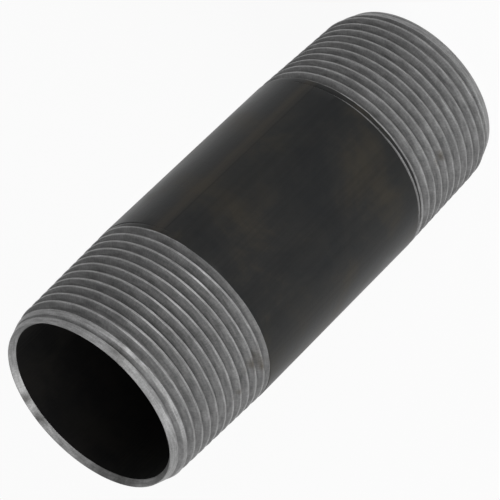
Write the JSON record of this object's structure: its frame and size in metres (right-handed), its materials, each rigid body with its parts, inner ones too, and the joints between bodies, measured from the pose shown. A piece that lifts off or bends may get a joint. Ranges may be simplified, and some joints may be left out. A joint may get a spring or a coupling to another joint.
{
  "type": "pipe nipple",
  "caption": "Short straight steel pipe nipple, plain in the middle, with a right-hand taper pipe thread at each end, for joining two threaded fittings.",
  "frame": {"origin": "centre of the bottom end face, on the pipe's axis", "axes": "+Z along the pipe's axis, from the bottom end up to the top end; +X and +Y are free directions across it"},
  "size_m": [0.0422, 0.0422, 0.1016],
  "materials": {
    "pipe_steel": "satin black lacquer on the plain middle, bare machined steel on threads and ends"
  },
  "bodies": {
    "root": {"pipe_nipple": "pipe_steel"}
  },
  "joints": []
}
